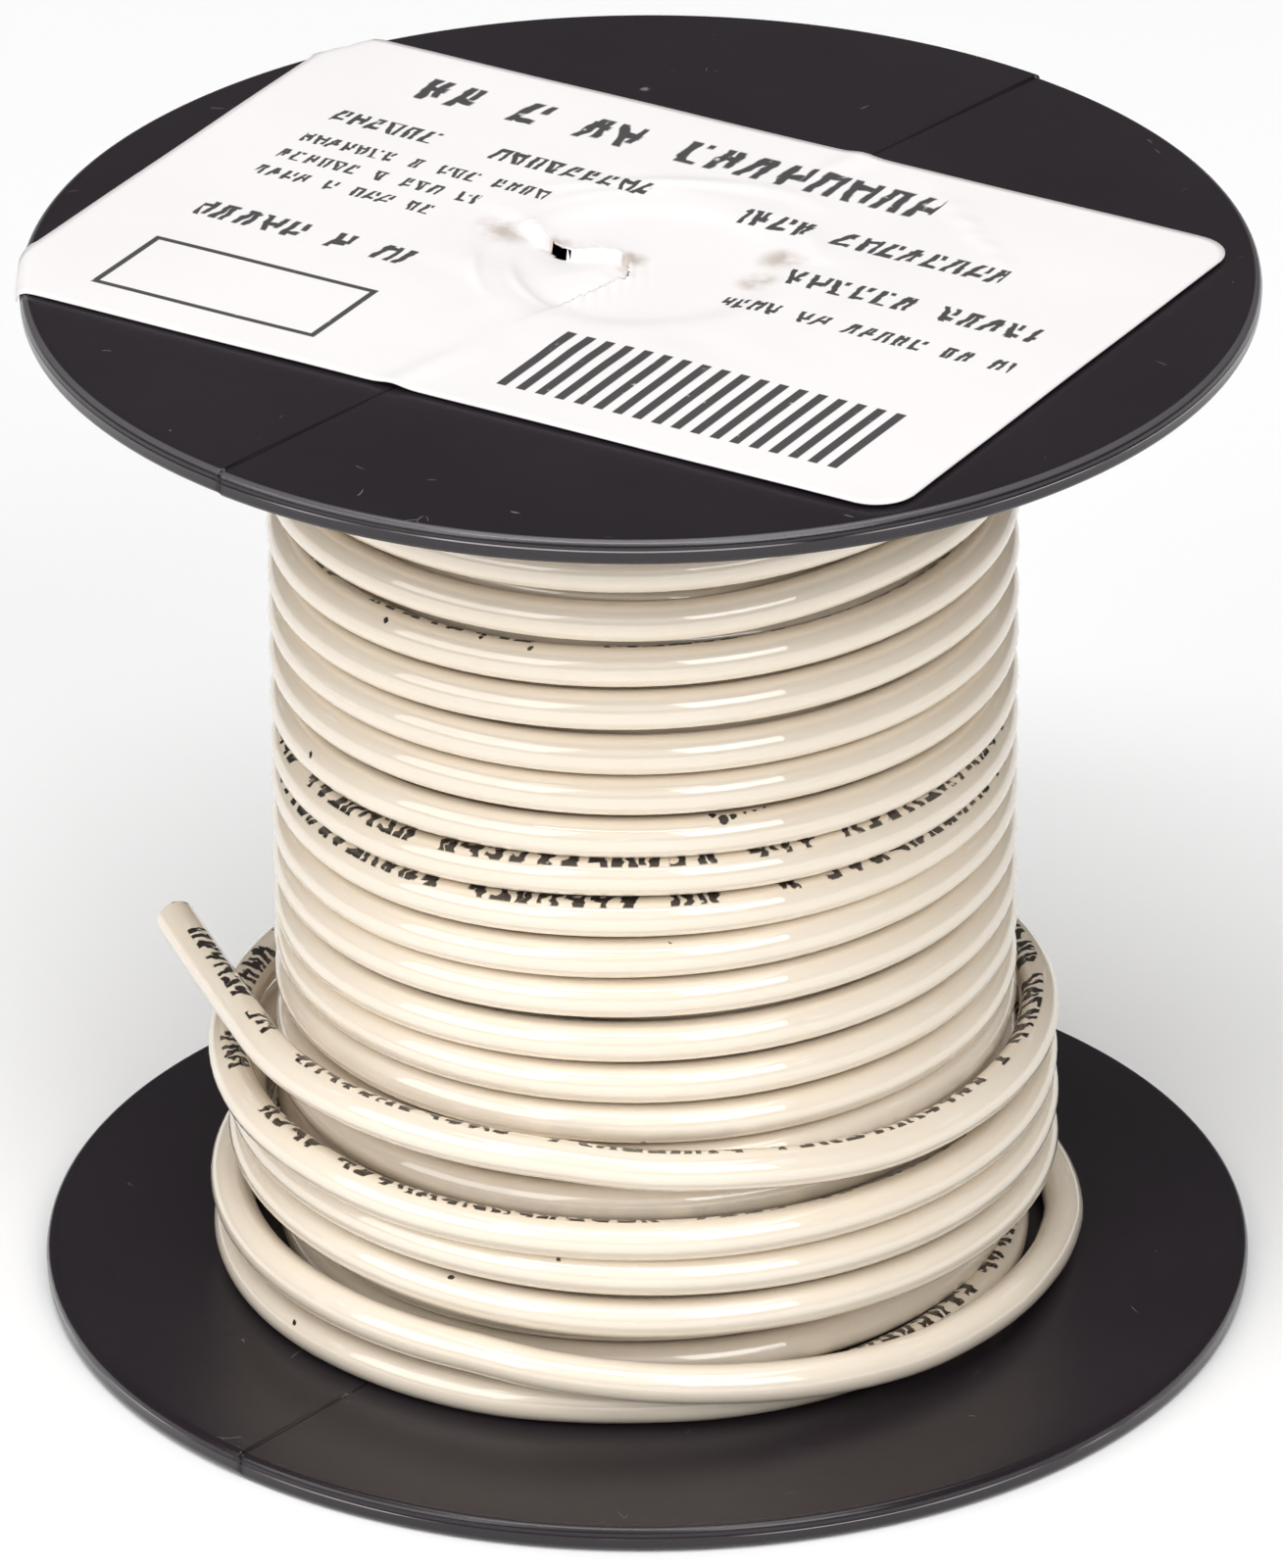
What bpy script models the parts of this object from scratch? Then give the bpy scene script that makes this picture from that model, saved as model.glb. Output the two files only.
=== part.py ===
"""A machine-wound spool of solid electrical wire, standing on one flange.

Metres, +Z up along the spool's axis. The origin is on the axis, in the plane
of the lower flange's underside. The front of the spool faces -Y.
"""

import math

import bmesh
import bpy
from mathutils import Matrix, Vector

# Spool: one black moulding, two thin flanges on a hollow drum
FLANGE_RADIUS = 0.045
FLANGE_THICKNESS = 0.0019
RIM_ROUNDING = 0.0006
WINDING_WIDTH = 0.07755
DRUM_RADIUS = 0.0123
DRUM_WALL = 0.0015

# Wire: round, insulated, in full layers with a short loose layer outside them
WIRE_DIAMETER = 0.003
TURN_SPACING = 0.0034
FULL_LAYERS = 5
LAYER_SPACING = 0.003025
OUTER_TURNS = 5
OUTER_TURN_SPACING = 0.00348
SPRING_BACK = 0.0013
RIDGE_DEPTH = 0.0008

# Loose last turn: it lies on the outer layer, climbs at the front, and its end stands straight off
LOOSE_START = math.radians(515)
CLIMB_START = math.radians(315)
CLIMB_END = math.radians(240)
LOOSE_RELEASE = math.radians(200)
LOOSE_CLIMB = 0.0027
LOOSE_STEP = math.radians(12)
END_LENGTH = 0.0189

# Paper label on the upper flange, its two outer corners cut back to the flat
LABEL_LENGTH = 0.0762
LABEL_WIDTH = 0.0508
LABEL_CORNER = 0.0032
LABEL_THICKNESS = 0.0002
LABEL_TURN = math.radians(-30.9)
LABEL_CENTRE = (-0.0022, 0.0001)
LABEL_EDGE_MARGIN = 0.0002

# Clearance between pieces that touch
TOUCH_GAP = 0.0003

# Resolution of the round shapes
TURNED_SEGMENTS = 64
ROUNDING_SEGMENTS = 3
CORNER_SEGMENTS = 5

SPOOL_HEIGHT = WINDING_WIDTH + 2 * FLANGE_THICKNESS
BORE_RADIUS = DRUM_RADIUS - DRUM_WALL
COIL_RADIUS = DRUM_RADIUS + WIRE_DIAMETER + (FULL_LAYERS - 1) * LAYER_SPACING
OUTER_RADIUS = COIL_RADIUS + SPRING_BACK + WIRE_DIAMETER
COIL_BOTTOM = FLANGE_THICKNESS + TOUCH_GAP
COIL_TOP = FLANGE_THICKNESS + WINDING_WIDTH - TOUCH_GAP
OUTER_TOP = COIL_BOTTOM + OUTER_TURNS * OUTER_TURN_SPACING


def clear_scene():
    for obj in list(bpy.data.objects):
        bpy.data.objects.remove(obj, do_unlink=True)


def material(name, colour, roughness):
    mat = bpy.data.materials.new(name)
    mat.use_nodes = True
    shader = mat.node_tree.nodes["Principled BSDF"]
    shader.inputs["Base Color"].default_value = (*colour, 1.0)
    shader.inputs["Roughness"].default_value = roughness
    shader.inputs["Metallic"].default_value = 0.0
    return mat


def add_object(name, bm, mat, smooth_angle=math.radians(40)):
    mesh = bpy.data.meshes.new(name)
    bmesh.ops.recalc_face_normals(bm, faces=bm.faces)
    bm.to_mesh(mesh)
    bm.free()
    mesh.shade_smooth()
    mesh.set_sharp_from_angle(angle=smooth_angle)
    obj = bpy.data.objects.new(name, mesh)
    bpy.context.scene.collection.objects.link(obj)
    obj.data.materials.append(mat)
    return obj


def arc(centre, radius, start, end, segments):
    """Points of an arc in the (r, z) plane, both ends included."""
    points = []
    for i in range(segments + 1):
        angle = start + (end - start) * i / segments
        points.append((centre[0] + radius * math.cos(angle), centre[1] + radius * math.sin(angle)))
    return points


def turned(profile):
    """A closed (r, z) profile spun once round the Z axis."""
    bm = bmesh.new()
    verts = [bm.verts.new((r, 0.0, z)) for r, z in profile]
    edges = [bm.edges.new((verts[i - 1], verts[i])) for i in range(len(verts))]
    bmesh.ops.spin(bm, geom=verts + edges, axis=(0, 0, 1), cent=(0, 0, 0),
                   angle=2 * math.pi, steps=TURNED_SEGMENTS, use_merge=True)
    return bm


def flange_rim(underside):
    """The rim of a flange whose lower face is at this height, from below upwards."""
    centre_r = FLANGE_RADIUS - RIM_ROUNDING
    lower = arc((centre_r, underside + RIM_ROUNDING), RIM_ROUNDING,
                math.radians(-90), 0.0, ROUNDING_SEGMENTS)
    upper = arc((centre_r, underside + FLANGE_THICKNESS - RIM_ROUNDING), RIM_ROUNDING,
                0.0, math.radians(90), ROUNDING_SEGMENTS)
    return lower + upper


def build_spool():
    profile = [(BORE_RADIUS, 0.0)]
    profile += flange_rim(0.0)
    profile += [(DRUM_RADIUS, FLANGE_THICKNESS), (DRUM_RADIUS, FLANGE_THICKNESS + WINDING_WIDTH)]
    profile += flange_rim(FLANGE_THICKNESS + WINDING_WIDTH)
    profile += [(BORE_RADIUS, SPOOL_HEIGHT)]
    return add_object("spool", turned(profile), material("spool_plastic", (0.022, 0.018, 0.021), 0.42))


def ridges(crest_radius, bottom, top, count):
    """One valley and one crest for each turn, from below upwards, with a valley at the end."""
    points = []
    spacing = (top - bottom) / count
    for i in range(count):
        points.append((crest_radius - RIDGE_DEPTH, bottom + spacing * i))
        points.append((crest_radius, bottom + spacing * (i + 0.5)))
    points.append((crest_radius - RIDGE_DEPTH, top))
    return points


def build_coil(wire_material):
    inner_radius = DRUM_RADIUS + TOUCH_GAP
    upper_turns = int((COIL_TOP - OUTER_TOP) / TURN_SPACING)
    profile = [(inner_radius, COIL_BOTTOM)]
    profile += ridges(OUTER_RADIUS, COIL_BOTTOM, OUTER_TOP, OUTER_TURNS)
    profile += ridges(COIL_RADIUS, OUTER_TOP, COIL_TOP, upper_turns)
    profile += [(inner_radius, COIL_TOP)]
    return add_object("wire_coil", turned(profile), wire_material)


def loose_turn_points():
    """Centre line of the last turn, from where it leaves the coil to its cut end."""
    radius = OUTER_RADIUS - WIRE_DIAMETER / 2
    low = OUTER_TOP + TOUCH_GAP + WIRE_DIAMETER / 2
    steps = round((LOOSE_START - LOOSE_RELEASE) / LOOSE_STEP)
    points = []
    for i in range(steps + 1):
        angle = LOOSE_START + (LOOSE_RELEASE - LOOSE_START) * i / steps
        share = min(max((CLIMB_START - angle) / (CLIMB_START - CLIMB_END), 0.0), 1.0)
        height = low + LOOSE_CLIMB * share * share * (3 - 2 * share)
        points.append(Vector((radius * math.cos(angle), radius * math.sin(angle), height)))
    heading = Vector((math.sin(LOOSE_RELEASE), -math.cos(LOOSE_RELEASE), 0.0))
    points.append(points[-1] + heading * END_LENGTH)
    return points


def build_tail(wire_material):
    points = loose_turn_points()
    curve = bpy.data.curves.new("wire_tail", "CURVE")
    curve.dimensions = "3D"
    curve.bevel_depth = WIRE_DIAMETER / 2
    curve.bevel_resolution = 2
    curve.use_fill_caps = True
    spline = curve.splines.new("POLY")
    spline.points.add(len(points) - 1)
    for spot, point in zip(spline.points, points):
        spot.co = (*point, 1.0)
    obj = bpy.data.objects.new("wire_tail", curve)
    bpy.context.scene.collection.objects.link(obj)
    obj.data.materials.append(wire_material)
    return obj


def rounded_rectangle(length, width, corner):
    """Corner arcs of a rectangle about the origin, anticlockwise."""
    points = []
    for quarter, (sx, sy) in enumerate(((1, 1), (-1, 1), (-1, -1), (1, -1))):
        centre = (sx * (length / 2 - corner), sy * (width / 2 - corner))
        start = math.radians(90 * quarter)
        points += arc(centre, corner, start, start + math.radians(90), CORNER_SEGMENTS)
    return points


def plate(outline, thickness):
    bm = bmesh.new()
    face = bm.faces.new([bm.verts.new((x, y, 0.0)) for x, y in outline])
    lifted = bmesh.ops.extrude_face_region(bm, geom=[face])
    top = [item for item in lifted["geom"] if isinstance(item, bmesh.types.BMVert)]
    bmesh.ops.translate(bm, verts=top, vec=(0.0, 0.0, thickness))
    return bm


def build_label():
    outline = rounded_rectangle(LABEL_LENGTH, LABEL_WIDTH, LABEL_CORNER)
    label = add_object("label", plate(outline, LABEL_THICKNESS), material("label_paper", (0.86, 0.84, 0.82), 0.55))
    label.location = (*LABEL_CENTRE, SPOOL_HEIGHT + TOUCH_GAP)
    label.rotation_euler = (0.0, 0.0, LABEL_TURN)

    bm = bmesh.new()
    cutter_radius = FLANGE_RADIUS - RIM_ROUNDING - LABEL_EDGE_MARGIN
    lift = Matrix.Translation((0.0, 0.0, SPOOL_HEIGHT + TOUCH_GAP))
    bmesh.ops.create_cone(bm, cap_ends=True, segments=TURNED_SEGMENTS, radius1=cutter_radius,
                          radius2=cutter_radius, depth=FLANGE_THICKNESS, matrix=lift)
    cutter = add_object("label_outline_cutter", bm, label.data.materials[0])
    cutter.hide_render = True
    cutter.display_type = "WIRE"

    cut = label.modifiers.new("cut_to_flat", "BOOLEAN")
    cut.operation = "INTERSECT"
    cut.solver = "EXACT"
    cut.object = cutter
    return label


def main():
    clear_scene()
    wire_material = material("wire_jacket", (0.83, 0.79, 0.70), 0.3)
    build_spool()
    build_coil(wire_material)
    build_tail(wire_material)
    build_label()


main()
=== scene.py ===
"""Looks of the spool of electrical wire: camera, wire, spool, label, lights and floor."""

import math

import bmesh
import bpy
import numpy as np
from mathutils import Matrix, Vector


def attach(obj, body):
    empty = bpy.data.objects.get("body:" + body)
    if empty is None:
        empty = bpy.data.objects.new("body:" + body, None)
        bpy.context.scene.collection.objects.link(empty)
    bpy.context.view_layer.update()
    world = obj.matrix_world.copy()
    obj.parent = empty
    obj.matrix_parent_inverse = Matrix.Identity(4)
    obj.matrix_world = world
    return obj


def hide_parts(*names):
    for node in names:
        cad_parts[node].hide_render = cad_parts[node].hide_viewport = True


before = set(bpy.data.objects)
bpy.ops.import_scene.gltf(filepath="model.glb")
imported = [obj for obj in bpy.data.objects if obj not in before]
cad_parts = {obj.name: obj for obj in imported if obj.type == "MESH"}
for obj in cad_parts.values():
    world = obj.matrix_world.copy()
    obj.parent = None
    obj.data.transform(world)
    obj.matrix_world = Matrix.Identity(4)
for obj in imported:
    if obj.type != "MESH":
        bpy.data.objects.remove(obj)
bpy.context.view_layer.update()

MM = 0.001

# Sizes shared with the part's source
FLANGE_RADIUS = 0.045
FLANGE_THICKNESS = 0.0019
WINDING_WIDTH = 0.07755
DRUM_RADIUS = 0.0123
BORE_RADIUS = 0.0108
SPOOL_HEIGHT = WINDING_WIDTH + 2 * FLANGE_THICKNESS
WIRE_DIAMETER = 0.003
WIRE_LENGTH = 15.24
LABEL_LENGTH = 0.0762
LABEL_WIDTH = 0.0508
LABEL_CORNER = 0.0032
LABEL_TURN = math.radians(-30.9)
LABEL_CENTRE = (-0.0022, 0.0001)

# Photograph's camera
PHOTO_WIDTH = 1309
PHOTO_HEIGHT = 1600
FOCAL_PIXELS = 14591
CAMERA_DISTANCE = 1.0553
CAMERA_ELEVATION = math.radians(27.074)
CAMERA_ROLL = math.radians(-0.396)
CAMERA_TARGET = Vector((-0.00024, 0.0, 0.0393))


def build_camera():
    back = Vector((0.0, -math.cos(CAMERA_ELEVATION), math.sin(CAMERA_ELEVATION)))
    level_up = Vector((0.0, math.sin(CAMERA_ELEVATION), math.cos(CAMERA_ELEVATION)))
    right = math.cos(CAMERA_ROLL) * Vector((1, 0, 0)) + math.sin(CAMERA_ROLL) * level_up
    up = -math.sin(CAMERA_ROLL) * Vector((1, 0, 0)) + math.cos(CAMERA_ROLL) * level_up
    camera = bpy.data.cameras.new("camera")
    camera.sensor_fit = "AUTO"
    camera.sensor_width = 36.0
    camera.lens = FOCAL_PIXELS * 36.0 / PHOTO_HEIGHT
    camera.clip_start = 0.05
    camera.clip_end = 20.0
    obj = bpy.data.objects.new("camera", camera)
    place = CAMERA_TARGET + back * CAMERA_DISTANCE
    matrix = Matrix((right, up, back)).transposed().to_4x4()
    matrix.translation = place
    obj.matrix_world = matrix
    bpy.context.scene.collection.objects.link(obj)
    bpy.context.scene.camera = obj
    return obj


build_camera()


# Node graphs

class Graph:
    """A material's node tree, with short calls for the nodes that the finishes need."""

    def __init__(self, name):
        self.material = bpy.data.materials.new(name)
        self.material.use_nodes = True
        self.tree = self.material.node_tree
        self.shader = self.tree.nodes["Principled BSDF"]

    def node(self, kind, values=(), **settings):
        made = self.tree.nodes.new(kind)
        for key, value in settings.items():
            setattr(made, key, value)
        for key, value in dict(values).items():
            self.put(made.inputs[key], value)
        return made

    def put(self, socket, value):
        if isinstance(value, bpy.types.NodeSocket):
            self.tree.links.new(value, socket)
        else:
            socket.default_value = value

    def math(self, operation, a, b=0.0, c=0.0):
        made = self.tree.nodes.new("ShaderNodeMath")
        made.operation = operation
        for socket, value in zip(made.inputs, (a, b, c)):
            self.put(socket, value)
        return made.outputs[0]

    def ramp(self, value, low, high):
        """0 at low, 1 at high, smooth between them."""
        return self.node("ShaderNodeMapRange",
                         {"Value": value, "From Min": low, "From Max": high},
                         interpolation_type="SMOOTHSTEP").outputs["Result"]

    def product(self, *values):
        out = values[0]
        for value in values[1:]:
            out = self.math("MULTIPLY", out, value)
        return out

    def either(self, *values):
        out = values[0]
        for value in values[1:]:
            out = self.math("MAXIMUM", out, value)
        return out

    def split(self, vector):
        return self.node("ShaderNodeSeparateXYZ", {"Vector": vector}).outputs

    def join(self, x, y, z=0.0):
        return self.node("ShaderNodeCombineXYZ", {"X": x, "Y": y, "Z": z}).outputs[0]

    def noise(self, vector, scale, detail=2.0, roughness=0.5, distortion=0.0):
        return self.node("ShaderNodeTexNoise",
                         {"Vector": vector, "Scale": scale, "Detail": detail,
                          "Roughness": roughness, "Distortion": distortion}).outputs["Fac"]

    def mix(self, factor, a, b):
        made = self.node("ShaderNodeMix", data_type="RGBA")
        for key, value in (("Factor_Float", factor), ("A_Color", a), ("B_Color", b)):
            socket = next(s for s in made.inputs if s.identifier == key)
            if isinstance(value, tuple) and len(value) == 3:
                value = (*value, 1.0)
            self.put(socket, value)
        return next(s for s in made.outputs if s.identifier == "Result_Color")

    def bump(self, height, strength, distance, under=None):
        made = self.node("ShaderNodeBump", {"Height": height, "Strength": strength, "Distance": distance})
        if under is not None:
            self.put(made.inputs["Normal"], under)
        return made.outputs["Normal"]


def place_of(graph):
    """Position on the object, in metres, which holds still in every view."""
    return graph.node("ShaderNodeTexCoord").outputs["Object"]


# Wire: one continuous line, from the drum to the cut end. Azimuths fall towards the cut end.

LAYER_RADII = (0.01382, 0.01684, 0.01987, 0.02290)
TOP_LAYER_RADIUS = 0.02606
WIRE_LOW = 0.0034
WIRE_HIGH = 0.07795
LAYER_RAMP = 40.0
TOP_LAYER_START = 333.0

# Heights of the visible layer's turns, in mm, at three azimuths, from the upper flange down
SIGHTED_AZIMUTHS = (318, 270, 221)
SIGHTED_HEIGHTS = (
    (None, 76.92, None), (None, 73.22, None), (70.48, 69.58, 69.31), (66.99, 65.67, 65.53),
    (62.74, 62.08, 61.56), (59.11, 58.63, 58.06), (55.38, 55.02, 54.72), (52.12, 51.77, 51.43),
    (48.53, 48.34, 47.76), (45.33, 45.24, 44.19), (42.28, 41.92, 41.04), (39.31, 38.60, 37.71),
    (35.92, 35.33, 34.62), (32.27, 31.68, 31.12), (28.71, 28.28, 28.09), (25.28, 24.98, 24.97),
    (None, 21.71, None), (None, 18.44, None), (None, 15.15, None), (None, 11.85, None),
    (None, 8.51, None))
OUTER_SHIFT = -360 * 21

# Loose outer turns: azimuth, height in mm, and distance from the axis as a share of the flange radius
OUTER_TURNS = (
    (270, 5.16, 0.5792), (220, 4.85, 0.5792), (180, 4.67, 0.5809), (90, 3.87, 0.5869),
    (40, 3.47, 0.5940), (0, 3.40, 0.6010), (-10, 3.40, 0.6040), (-40, 3.40, 0.6262), (-80, 3.40, 0.6473),
    (-90, 3.40, 0.6493), (-101, 3.40, 0.6574), (-111, 3.40, 0.6684), (-123, 3.40, 0.6745),
    (-136, 3.40, 0.6795), (-154, 3.40, 0.6866), (-180, 3.40, 0.6886), (-270, 3.40, 0.6886),
    (-320, 3.40, 0.6906), (-360, 3.47, 0.6926), (-370, 3.56, 0.6866), (-380, 3.93, 0.6845),
    (-388, 4.27, 0.6876), (-400, 4.51, 0.6906), (-410, 4.66, 0.6936), (-425, 5.11, 0.6926),
    (-438, 5.61, 0.6896), (-450, 6.11, 0.6886), (-464, 6.71, 0.6886), (-476, 7.15, 0.6866),
    (-500, 7.16, 0.6886), (-515, 7.20, 0.6916), (-540, 7.32, 0.6926), (-585, 7.87, 0.6795),
    (-630, 8.97, 0.6594), (-680, 9.97, 0.6503), (-720, 10.47, 0.6493), (-760, 10.36, 0.6493),
    (-795, 10.49, 0.6493), (-810, 10.51, 0.6493), (-833, 10.75, 0.6493), (-852, 11.13, 0.6523),
    (-900, 11.77, 0.6604), (-990, 13.17, 0.6544), (-1050, 14.32, 0.6493), (-1061, 14.37, 0.6493),
    (-1095, 13.98, 0.6493), (-1111, 13.90, 0.6493), (-1135, 13.87, 0.6493), (-1170, 14.06, 0.6493),
    (-1205, 14.39, 0.6523), (-1260, 14.97, 0.6624), (-1350, 16.57, 0.6564), (-1410, 17.92, 0.6463),
    (-1421, 17.97, 0.6443), (-1431, 17.77, 0.6453), (-1450, 17.41, 0.6473), (-1480, 17.18, 0.6493),
    (-1530, 17.05, 0.6523), (-1565, 17.13, 0.6644), (-1584, 17.57, 0.6765), (-1600, 17.87, 0.6866),
    (-1620, 18.27, 0.6916), (-1670, 18.87, 0.6846), (-1710, 19.67, 0.6695), (-1760, 20.67, 0.6544),
    (-1781, 21.02, 0.6493), (-1800, 21.22, 0.6493), (-1830, 21.28, 0.6493), (-1848, 21.29, 0.6493),
    (-1879, 22.50, 0.6513), (-1890, 22.89, 0.6533), (-1905, 23.66, 0.6604), (-1920, 23.85, 0.6664),
    (-1935, 23.92, 0.6715), (-1950, 23.95, 0.6755), (-1960.3, 24.02, 0.6768))
END_LENGTH = 0.0190
END_RISE = 0.00035

# Where the printed legend's middle lies round the wire: 0 faces outwards, 90 upwards
LEGEND_KNOTS = (
    (600, 200), (-900, 200), (-1110, 150), (-1200, 126), (-1290, 150), (-1500, 200), (-2560, 200),
    (-2760, 112), (-2890, 92), (-3060, 84), (-3280, 90), (-3420, 84), (-3560, 130), (-3700, 200),
    (OUTER_SHIFT + 60, 200), (OUTER_SHIFT - 10, 96), (OUTER_SHIFT - 50, 100), (OUTER_SHIFT - 150, 200),
    (OUTER_SHIFT - 1300, 200), (OUTER_SHIFT - 1480, 150), (OUTER_SHIFT - 1530, 127),
    (OUTER_SHIFT - 1590, 104), (OUTER_SHIFT - 1620, 100), (OUTER_SHIFT - 1660, 112),
    (OUTER_SHIFT - 1781, 114), (OUTER_SHIFT - 1848, 118), (OUTER_SHIFT - 1890, 122),
    (OUTER_SHIFT - 1935, 116), (OUTER_SHIFT - 1961, 104))

# Small dark marks on the jacket: place on the spool and radius, in mm
BLOTS = (
    (4.85, -25.70, 49.87, 0.34), (5.62, -26.07, 49.74, 0.44), (6.33, -25.75, 49.80, 0.28),
    (7.18, -25.31, 49.88, 0.16), (7.89, -25.04, 49.90, 0.14), (8.60, -24.59, 49.90, 0.16),
    (-24.28, -12.57, 48.32, 0.24), (1.70, -26.60, 40.02, 0.18), (-6.50, -29.24, 15.46, 0.24),
    (-26.14, -18.39, 4.24, 0.22), (-14.41, -25.99, 12.26, 0.26), (-18.50, -19.70, 62.71, 0.26),
    (-13.97, -21.84, 63.19, 0.24), (-11.70, -23.57, 63.26, 0.18), (-8.12, -25.34, 63.24, 0.24))
BLOT_FRAY = 0.0005
BLOT_START = 0.00028
BLOT_FULL = 0.00018

# Printed legend: pitch of its strokes, their waver and weight, and its place and height round the wire
LEGEND_PITCH = 0.0019
LEGEND_WAVER = 0.7
LEGEND_WEIGHT = 0.16
LEGEND_SEED = 3.0
LEGEND_FOOT = 0.39
LEGEND_HEIGHT = 0.22

# Colours of the jacket and its ink
IVORY = (0.862, 0.782, 0.690)
PALE_IVORY = (0.885, 0.812, 0.730)
WARM_IVORY = (0.845, 0.752, 0.640)
LEGEND_INK = (0.022, 0.016, 0.012)

# Sides of the wire's mesh, and degrees between its rings in the hidden, the visible and the outer turns
WIRE_SIDES = 16
HIDDEN_STEP = 10.0
TOP_STEP = 4.0
OUTER_STEP = 3.0
END_STEPS = 14


def smooth_through(xs, ys, at):
    """Cubic curve through the knots that rises and falls only where they do."""
    xs = np.asarray(xs, float)
    ys = np.asarray(ys, float)
    gap = np.diff(xs)
    slope = np.diff(ys) / gap
    tangent = np.zeros(len(xs))
    same = slope[:-1] * slope[1:] > 0
    w1 = 2 * gap[1:] + gap[:-1]
    w2 = gap[1:] + 2 * gap[:-1]
    inner = np.zeros(len(slope) - 1)
    inner[same] = (w1 + w2)[same] / (w1[same] / slope[:-1][same] + w2[same] / slope[1:][same])
    tangent[1:-1] = inner
    tangent[0] = slope[0]
    tangent[-1] = slope[-1]
    i = np.clip(np.searchsorted(xs, at, side="right") - 1, 0, len(gap) - 1)
    t = (at - xs[i]) / gap[i]
    h = gap[i]
    return ((2 * t**3 - 3 * t**2 + 1) * ys[i] + (t**3 - 2 * t**2 + t) * h * tangent[i]
            + (3 * t**2 - 2 * t**3) * ys[i + 1] + (t**3 - t**2) * h * tangent[i + 1])


def visible_knots():
    """Azimuth, height and radius of the visible layer and the outer turns, in metres."""
    knots = [(TOP_LAYER_START, WIRE_HIGH, TOP_LAYER_RADIUS)]
    for turn, row in enumerate(SIGHTED_HEIGHTS):
        for azimuth, height in zip(SIGHTED_AZIMUTHS, row):
            if height is not None:
                knots.append((azimuth - 360 * turn, height * MM, TOP_LAYER_RADIUS))
    for azimuth, height, share in OUTER_TURNS:
        knots.append((azimuth + OUTER_SHIFT, height * MM, share * FLANGE_RADIUS))
    return np.array(knots)


def hidden_knots(turns):
    """The four layers under it, each this many turns, down and up by turns."""
    knots = []
    azimuth = TOP_LAYER_START + 4 * 360 * turns + 4 * LAYER_RAMP
    heights = (WIRE_HIGH, WIRE_LOW)
    for layer, radius in enumerate(LAYER_RADII):
        start, end = heights if layer % 2 == 0 else heights[::-1]
        knots.append((azimuth, start, radius))
        azimuth -= 360 * turns
        knots.append((azimuth, end, radius))
        azimuth -= LAYER_RAMP
    return np.array(knots)


def on_circle(azimuth, height, radius):
    angle = np.radians(azimuth)
    return np.stack([radius * np.cos(angle), radius * np.sin(angle), height], 1)


def wire_line():
    """Points of the wire's centre line, with each point's azimuth."""
    seen = visible_knots()
    x = -seen[:, 0]
    split = -(OUTER_SHIFT + 270)
    turn_azimuths = np.concatenate([np.arange(x[0], split, TOP_STEP),
                                    np.arange(split, x[-1], OUTER_STEP), [x[-1]]])
    seen_points = on_circle(-turn_azimuths, smooth_through(x, seen[:, 1], turn_azimuths),
                            smooth_through(x, seen[:, 2], turn_azimuths))
    release = math.radians(seen[-1, 0])
    heading = np.array([math.sin(release), -math.cos(release), 0.0])
    share = np.linspace(0, 1, END_STEPS + 1)[1:, None]
    end_points = seen_points[-1] + heading * END_LENGTH * share + np.array([0, 0, END_RISE]) * share**2
    seen_length = np.linalg.norm(np.diff(np.vstack([seen_points, end_points]), axis=0), axis=1).sum()

    turns = (WIRE_LENGTH - seen_length) / (2 * math.pi * sum(LAYER_RADII)) - LAYER_RAMP / 360
    under = hidden_knots(turns)
    ux = -under[:, 0]
    under_azimuths = np.arange(ux[0], x[0] - HIDDEN_STEP / 2, HIDDEN_STEP)
    knots_x = np.append(ux, x[0])
    radius = smooth_through(knots_x, np.append(under[:, 2], TOP_LAYER_RADIUS), under_azimuths)
    height = np.interp(under_azimuths, knots_x, np.append(under[:, 1], WIRE_HIGH))
    under_points = on_circle(-under_azimuths, height, radius)

    points = np.vstack([under_points, seen_points, end_points])
    azimuths = np.concatenate([-under_azimuths, -turn_azimuths, np.full(len(end_points), seen[-1, 0])])
    return points, azimuths


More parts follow.
